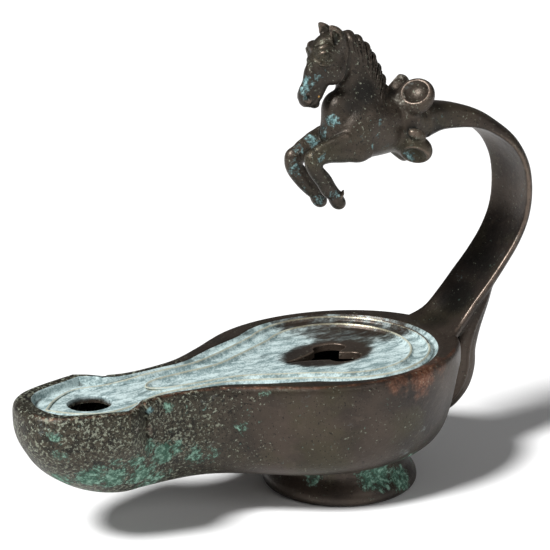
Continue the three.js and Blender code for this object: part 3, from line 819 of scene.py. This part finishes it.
NOZZLE_GREEN = [
    (-68, -12.5, 27, 4.5, 0.95), (-73, -14, 30.5, 3, 0.8), (-64, -12, 27.5, 3, 0.8),
    (-57, -11.6, 23.5, 4.5, 0.65), (-53, -13, 24, 4, 0.5), (-91, -11.7, 24, 4.5, 0.9),
    (-84, -13, 23, 5, 0.95), (-75, -11.7, 21.5, 5, 0.9), (-84, -15.5, 28.5, 3, 0.6),
    (-78, -14.7, 27, 4, 0.7), (-89, -14, 27, 3, 0.55), (-101.6, -12, 39, 2.5, 0.6),
    (-100, -12, 33, 3, 0.5), (-97, -6, 22, 5, 0.7), (-70, -6, 17, 7, 0.7), (-86, 0, 14, 9, 0.6),
    (-66, 13, 26, 7, 0.7), (-86, 15, 27, 8, 0.8), (-98, 12, 33, 5, 0.5),
]
WALL_GREEN = [
    (-44, -18.4, 36.8, 1.8, 0.5), (-45.3, -17.5, 32, 2.2, 0.55), (-39.2, -20.8, 42.5, 2, 0.45),
    (-6, -33.7, 36.4, 2.2, 0.4), (13.2, -27, 18.7, 2, 0.5), (-66.3, -12.6, 41, 2.2, 0.6),
    (-61, -13, 38, 2.2, 0.5), (-0.5, -20.6, 8.3, 6, 0.95), (9, -20.7, 5.3, 5, 0.8),
    (-17, -12, 8.7, 3.5, 0.7), (8, -24, 13.6, 5, 0.6), (20, -9, 8, 4, 0.4), (-8, 20, 7, 6, 0.7),
    (18, 16, 11, 6, 0.6), (-30, 24, 26, 5, 0.5), (10, 32, 34, 4, 0.4), (33, 22, 30, 4, 0.4),
]
HORSE_BLUE = [
    (-13.1, -1.5, 126.9, 2.4, 0.9), (-10.8, -3.2, 128.7, 2.2, 0.8), (-14.4, -1.3, 124.7, 2, 0.8),
    (-9, -3.9, 130.4, 1.5, 0.6), (-14.4, -1.9, 122.4, 1.2, 0.8), (-5.4, -2.4, 115, 2.8, 0.9),
    (-6.9, 0.5, 111, 3, 0.8), (-8.3, 3.8, 108, 2.6, 0.9), (-13, 3, 105.8, 2.5, 0.6),
    (-15, 3, 100, 4, 0.5), (-12.6, 3.5, 95, 4, 0.45), (-6.7, 2.8, 89.8, 3, 0.6),
    (-11.8, -7.2, 105.4, 1.8, 0.6), (-10, -6, 100.7, 2, 0.4), (-6.6, -6.3, 93.4, 2.4, 0.65),
    (7.3, -8.2, 114, 1.6, 0.7), (7, -8.2, 110, 1.5, 0.6), (1.3, -7.8, 110, 1.8, 0.7),
    (5, -8.6, 107, 1.3, 0.8), (11, -6.7, 106, 1.3, 0.6), (21, -5, 101.5, 2.6, 0.7),
    (33, -4.3, 113, 1.5, 0.5), (51, -4.6, 109.5, 1.5, 0.45), (47.6, 5, 56, 2, 0.6),
    (-72.7, -13.7, 41.4, 1.6, 0.9), (-2.5, -4, 127.5, 1.6, 0.5), (-4, 2.6, 128, 3, 0.5),
    (6, 8, 112, 3, 0.5), (22, 8, 104, 3, 0.6), (63, -6, 84, 2, 0.4), (-10, 4.5, 127, 3, 0.6),
]
# Pale crust on the flower and a chip by the nozzle; the spots on the near-side knob and the brow are painted
# highlights.
PALE = [
    (22.5, 5.4, 121.9, 4.5, 0.8), (24.4, 3.3, 121.2, 3.5, 0.7), (19.5, -5.3, 116.5, 3.2, 0.8),
    (17, -3.8, 118.6, 3.2, 0.7), (-79, -17.9, 38.3, 1.1, 1.0), (20, -10.5, 108.3, 1.6, 0.7),
    (-9.5, -3.6, 137.2, 1.3, 0.5), (9, -5, 119, 4, 0.35),
]
# Painted glints in gold colour: on the flower, at the corner of the mouth, on the cheek and on the nozzle's rim.
GOLD_GLINTS = [
    (19.5, -6, 115.5, 1.0, 0.9), (-10.2, -2.9, 122.6, 0.6, 0.9), (-2.6, -4.6, 127.6, 0.9, 0.6),
    (-92, -15.3, 43.4, 3, 0.35),
]
# Soot at the wick hole; the rest are painted shade: the horse's painted cast shadow on the lower handle, shade on
# the neck, by the flower and under the foot.
SOOT_AND_SHADOW = [
    (44, 0, 52, 9, 0.9), (51, 0, 62, 9, 0.75), (36, 0, 46, 7, 0.6), (57, 0, 70, 8, 0.4),
    (4, -5.5, 123, 5, 0.85), (0, -5.5, 119, 4, 0.7), (31, -3, 107, 5, 0.8), (38, -2, 108, 4, 0.6),
    (-4, -5, 131, 2.5, 0.4), (20, -6, 111, 3, 0.7), (-85, 0, 40, 8, 0.8), (-4, 0, 0, 20, 0.5),
    (3, 5.5, 122, 6, 0.7),
]
# Painted highlights in copper colour, on the near side of the rim and on the flower's near petals.
COPPER_HIGHLIGHTS = [
    (8, -31.5, 42.6, 6, 0.9), (-2, -33.5, 42.6, 5, 0.6), (16, -27.5, 43, 5, 0.6),
    (23, -9, 113, 2.5, 0.7), (24.5, -8.5, 117, 2.5, 0.6),
]
listed = (NOZZLE_GREEN, WALL_GREEN, HORSE_BLUE, PALE, GOLD_GLINTS, SOOT_AND_SHADOW, COPPER_HIGHLIGHTS)
print("patches", sum(len(spots) for spots in listed))

# %% Zones as attributes of the casting
leaf_gap = np.hypot((x + 5) / 1.5, y)
far_right = smoothstep(y, -6, 8) * smoothstep(x, -14, 4)
chalk = top * lerp(1.0, 0.35, far_right) * lerp(0.0, 1, smoothstep(leaf_gap, 7.5, 12))
# Painted highlight along the near edge of the rim.
near_rim = (1 - smoothstep(rim_gap, 0.25, 1.0)) * (1 - smoothstep(y, -10, 0)) * (1 - smoothstep(x, 24, 34))
copper_highlight = np.maximum(near_rim * 0.6, patches(COPPER_HIGHLIGHTS) * (1 - top * 0.8))
pitted = smoothstep(-x, 34, 66) * (z < 47) * ~top
pitted = np.maximum(pitted, lerp(0.0, 0.25, smoothstep(z, 86, 100)) * (x < 32))
# Soot inside the vessel and at the wick hole, painted shade and shadow elsewhere.
soot_and_shadow = np.maximum(patches(SOOT_AND_SHADOW), inside * 0.9)
soot_and_shadow *= ~(top & (z > 41.2))
green = patches(NOZZLE_GREEN + WALL_GREEN)
blue, pale, gold_glint = (patches(spots) for spots in (HORSE_BLUE, PALE, GOLD_GLINTS))
ridge_crest = 1 - smoothstep(ridge_gap, 0.15, 0.75)
zones = {
    "crest": crest, "hollow": hollow, "painted_recess_shade": painted_recess_shade, "chalk": chalk, "green": green, "blue": blue,
    "pale": pale, "gold_glint": gold_glint, "soot_and_shadow": soot_and_shadow, "copper_highlight": copper_highlight, "pitted": pitted, "ridge": ridge_crest,
}
for name, values in zones.items():
    layer = mesh.attributes.new(name, "FLOAT", "POINT")
    layer.data.foreach_set("value", np.clip(values, 0, 1).astype(np.float32))
print("zones", {name: int((values > 0.5).sum()) for name, values in zones.items()})

# %% [markdown]
# ## Writing shader sums
# A shader is arithmetic on masks. Wrapping a socket in a small class lets the sums be written as Python
# expressions, and every operator adds its Math node. Colours go through Mix, since Math would turn them grey.


# %% A socket that can be added, multiplied and subtracted
class Wire:
    def __init__(self, bench, socket):
        self.bench, self.socket = bench, socket

    def math(self, operation, first, second):
        return self.bench.node("ShaderNodeMath", {"operation": operation}, {0: first, 1: second})

    def __add__(self, other):
        return self.math("ADD", self, other)

    def __mul__(self, other):
        return self.math("MULTIPLY", self, other)

    def __sub__(self, other):
        return self.math("SUBTRACT", self, other)

    def __rsub__(self, other):
        return self.math("SUBTRACT", other, self)

    __radd__, __rmul__ = __add__, __mul__


class Bench:
    def __init__(self, name):
        self.material = bpy.data.materials.new(name)
        self.material.use_nodes = True
        self.tree = self.material.node_tree
        self.tree.nodes.clear()

    def node(self, kind, settings=None, inputs=None, output=0):
        made = self.tree.nodes.new(kind)
        for key, value in (settings or {}).items():
            setattr(made, key, value)
        for key, value in (inputs or {}).items():
            if isinstance(value, Wire):
                self.tree.links.new(value.socket, made.inputs[key])
            else:
                made.inputs[key].default_value = value
        return Wire(self, made.outputs[output]) if made.outputs else None

    def mask(self, name):
        return self.node("ShaderNodeAttribute", {"attribute_name": name}, output="Fac")

    def step(self, value, low, high, to_low=0.0, to_high=1.0):
        settings = {"interpolation_type": "SMOOTHSTEP"}
        limits = {"Value": value, "From Min": low, "From Max": high, "To Min": to_low, "To Max": to_high}
        return self.node("ShaderNodeMapRange", settings, limits)

    def mix(self, a, b, share):
        return self.node("ShaderNodeMix", {"data_type": "RGBA"}, {0: share, 6: a, 7: b}, 2)

    def noise(self, size, detail=3.0, rough=0.55, place=None):
        """Soft noise whose lumps are about this many millimetres across."""
        place = place or self.node("ShaderNodeTexCoord", output="Object")
        values = {"Vector": place, "Scale": 1 / (size * MM), "Detail": detail, "Roughness": rough}
        return self.node("ShaderNodeTexNoise", None, values)


def colour(red, green, blue):
    """A colour as a painter mixes it, 0 to 255, in the linear light a shader wants."""
    parts = [c / 255 for c in (red, green, blue)]
    return tuple(c / 12.92 if c <= 0.04045 else ((c + 0.055) / 1.055) ** 2.4 for c in parts) + (1.0,)


bench = Bench("patinated bronze")
print("bench ready for", bench.material.name)

# %% [markdown]
# ## The bronze
# The metal has a brown-grey satin skin with soft clouds of olive and darker brown. It is a thin patina over
# polished metal, so it keeps some metallic sheen.

# %% Brown skin
clouds, mottle = bench.noise(26, 4, 0.6), bench.noise(3.2, 5, 0.65)
grain, fleck = bench.noise(0.55, 3, 0.6), bench.noise(0.9, 4, 0.7)
crest_mask, hollow_mask, painted_recess_shade_mask = bench.mask("crest"), bench.mask("hollow"), bench.mask("painted_recess_shade")
pitted_mask, soot_and_shadow_mask = bench.mask("pitted"), bench.mask("soot_and_shadow")
brown = bench.mix(colour(70, 60, 52), colour(43, 37, 33), bench.step(clouds, 0.36, 0.66))
brown = bench.mix(brown, colour(84, 73, 64), bench.step(mottle, 0.5, 0.75) * 0.55)
brown = bench.mix(brown, colour(66, 62, 43), bench.step(bench.noise(18, 3), 0.5, 0.68) * 0.5)
brown = bench.mix(brown, colour(66, 63, 51), pitted_mask * 0.65)
brown = bench.mix(brown, colour(28, 26, 22), bench.step(mottle, 0.36, 0.52, 1.0, 0.0) * pitted_mask * 0.75)
# Painted shade: sheltered places are darkened as if shade falls there.
brown = bench.mix(brown, colour(24, 22, 20), bench.step(painted_recess_shade_mask + (mottle - 0.5) * 0.8, 0.35, 1.0) * 0.8)
worn = bench.step(crest_mask + (mottle - 0.5) * 0.9, 0.4, 1.0)
brown = bench.mix(brown, colour(124, 108, 96), worn * 0.55)
# Darkens soot, and paints shade and the horse's cast shadow on the handle.
brown = bench.mix(brown, colour(17, 16, 14), bench.step(soot_and_shadow_mask + (mottle - 0.5) * 0.5, 0.25, 0.95) * 0.88)

# %% Painted copper-coloured highlights on the near rim and the flower, and painted gold glints
# Painted highlight in copper colour.
copper_highlight_mask = bench.step(bench.mask("copper_highlight") + (mottle - 0.5) * 1.1, 0.3, 0.95)
copper_highlight_tone = bench.mix(colour(104, 62, 42), colour(146, 104, 82), bench.step(fleck, 0.4, 0.62))
brown = bench.mix(brown, copper_highlight_tone, copper_highlight_mask * 0.8)
# Painted gold glints.
gold_glint_mask = bench.step(bench.mask("gold_glint") + (fleck - 0.5) * 1.6, 0.55, 0.9)
brown = bench.mix(brown, colour(206, 158, 84), gold_glint_mask)

# %% [markdown]
# ## Crusts and specks
# Corrosion grows out of the metal in grains, so each soft patch is broken up by fine noise before it is cut
# off at a level; the pale patches that are painted highlights are broken up the same way. Pale and dark specks are
# the tops of finer noise, thick on the nozzle and thin elsewhere.

# %% Green and blue crusts, and pale crusts and painted highlights
crust_edge = bench.noise(1.5, 6, 0.75)
patchy = (bench.noise(4, 4) - 0.5) * 1.1 + (crust_edge - 0.5) * 2.2
green_crust = bench.step(bench.mask("green") + patchy, 0.36, 0.8)
blue_crust = bench.step(bench.mask("blue") + patchy, 0.5, 0.95) * 0.85
# Pale crust, and painted highlights where the pale spots sit on the knob and the brow.
pale_crust_and_highlight = bench.step(bench.mask("pale") + patchy * 0.8, 0.45, 1.0)
green_tone = bench.mix(colour(52, 88, 72), colour(140, 176, 158), bench.step(crust_edge, 0.45, 0.66))
blue_tone = bench.mix(colour(56, 96, 98), colour(150, 188, 190), bench.step(crust_edge, 0.44, 0.64))
scatter = pitted_mask * 0.11 + bench.noise(9, 3) * 0.16
pale_specks = bench.step(fleck + scatter, 0.71, 0.79)
dark_specks = bench.step(bench.noise(0.75, 3, 0.6) + scatter, 0.69, 0.76)
# Hollows are darkened: dirt and green patina in part, painted shade in part.
finish = bench.mix(brown, colour(22, 26, 22), hollow_mask * 0.8)
finish = bench.mix(finish, colour(16, 15, 13), dark_specks * 0.75)
speck_tone = bench.mix(colour(120, 120, 98), colour(168, 176, 160), crust_edge)
finish = bench.mix(finish, speck_tone, pale_specks * 0.7)
finish = bench.mix(finish, green_tone, green_crust)
finish = bench.mix(finish, blue_tone, blue_crust)
pale_tone = bench.mix(colour(104, 98, 88), colour(190, 186, 172), bench.step(fleck, 0.4, 0.6))
finish = bench.mix(finish, pale_tone, pale_crust_and_highlight * 0.85)

# %% [markdown]
# ## The bloom on the top
# A thin chalky bloom lies on the top in streaks along the lamp. Noise whose x is squeezed gives long streaks.

# %% Pale blue bloom on the top, with cream crests on the mouldings
SQUEEZE = (0.4, 1, 1)
place = bench.node("ShaderNodeTexCoord", output="Object")
along = bench.node("ShaderNodeVectorMath", {"operation": "MULTIPLY"}, {0: place, 1: SQUEEZE})
streak = bench.noise(2.6, 6, 0.7, place=along)
bloom = bench.mask("chalk") + (streak - 0.5) * 1.2 + (bench.noise(12, 3) - 0.5) * 1.1
chalk_share = bench.step(bloom, 0.2, 1.0) * 0.94
streak_light = bench.step(streak + (grain - 0.5) * 0.5, 0.36, 0.64)
chalk_tone = bench.mix(colour(116, 138, 140), colour(196, 214, 214), streak_light)
finish = bench.mix(finish, chalk_tone, chalk_share)
# The valleys of the mouldings are darkened: dirt in part, painted shade in part.
valley_dirt_and_shade = bench.step(hollow_mask + (fleck - 0.5), 0.3, 0.9) * bench.mask("chalk")
finish = bench.mix(finish, colour(52, 60, 56), valley_dirt_and_shade * 0.7)
ridge_mask = bench.step(bench.mask("ridge") + (fleck - 0.5) * 1.2, 0.45, 1.0)
finish = bench.mix(finish, colour(176, 172, 148), ridge_mask * 0.7)

# %% Shine, metal and relief
crust = bench.step(green_crust + blue_crust + pale_crust_and_highlight + chalk_share + pale_specks * 0.7, 0.0, 1.0)
roughness = bench.step(crust, 0, 1, 0.4, 0.8) + (grain - 0.5) * 0.2 + pitted_mask * 0.06 - worn * 0.06
metallic = bench.step(crust, 0, 1, 0.62, 0.02)
pits = bench.step(fleck, 0.42, 0.3) * pitted_mask
relief = grain * 0.2 + crust_edge * (green_crust + blue_crust + pale_crust_and_highlight) * 0.9
relief = relief + mottle * 0.35 - pits * 0.5 + streak * chalk_share * 0.3
bump = bench.node("ShaderNodeBump", None, {"Height": relief, "Strength": 0.8, "Distance": 0.00045})
surface = {"Base Color": finish, "Roughness": roughness, "Metallic": metallic, "Normal": bump}
shader = bench.node("ShaderNodeBsdfPrincipled", None, surface)
bench.node("ShaderNodeOutputMaterial", None, {"Surface": shader})
mesh.materials.clear()
mesh.materials.append(bench.material)
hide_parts("lamp")
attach(lamp, "root")
print("shader nodes", len(bench.tree.nodes))

# %% [markdown]
# ## The studio
# A pale floor runs far back. The key is a soft sun high over the nozzle end, a weak round box stands in front
# and an even, dim white sky lifts the shadows and gives the metal something pale to reflect.

# %% Floor and lights
paper = Bench("pale paper")
sheet = paper.node("ShaderNodeBsdfPrincipled", None, {"Base Color": (0.93, 0.93, 0.93, 1), "Roughness": 0.9})
paper.node("ShaderNodeOutputMaterial", None, {"Surface": sheet})
floor_mesh = bpy.data.meshes.new("floor")
floor_mesh.from_pydata([(-4, -4, 0), (4, -4, 0), (4, 4, 0), (-4, 4, 0)], [], [(0, 1, 2, 3)])
floor_mesh.materials.append(paper.material)
floor = bpy.data.objects.new("floor", floor_mesh)
bpy.context.collection.objects.link(floor)


def studio_light(kind, name, place, power, size):
    data = bpy.data.lights.new(name, kind)
    data.energy = power
    if kind == "SUN":
        data.angle = math.radians(size)
    else:
        data.shape, data.size = "DISK", size
    light = bpy.data.objects.new(name, data)
    light.location = place
    light.rotation_euler = (Vector((-0.02, 0, 0.06)) - Vector(place)).to_track_quat("-Z", "Y").to_euler()
    bpy.context.collection.objects.link(light)


studio_light("SUN", "key", (-0.82, -0.16, 1.06), power=4.6, size=12)
studio_light("AREA", "front_box", (0.35, -1.4, 0.9), power=4.5, size=0.9)
SKY = 0.11
world = bpy.data.worlds.new("studio")
world.use_nodes = True
world.node_tree.nodes["Background"].inputs["Color"].default_value = (1, 1, 1, 1)
world.node_tree.nodes["Background"].inputs["Strength"].default_value = SKY
bpy.context.scene.world = world
bpy.context.scene.view_settings.view_transform = "Standard"

# %% [markdown]
# ## Camera and finish
# The camera stands off the near side toward the nozzle's tip and looks a little down, with a long lens.

# %% Camera
camera_data = bpy.data.cameras.new("camera")
camera_data.sensor_width = 36
camera_data.lens = 125.67
camera = bpy.data.objects.new("camera", camera_data)
camera.location = (-0.3025, -0.4646, 0.2389)
aim = Vector((-0.0075, 0.0264, 0.0602))
camera.rotation_euler = (aim - camera.location).to_track_quat("-Z", "Y").to_euler()
bpy.context.collection.objects.link(camera)
bpy.context.scene.camera = camera
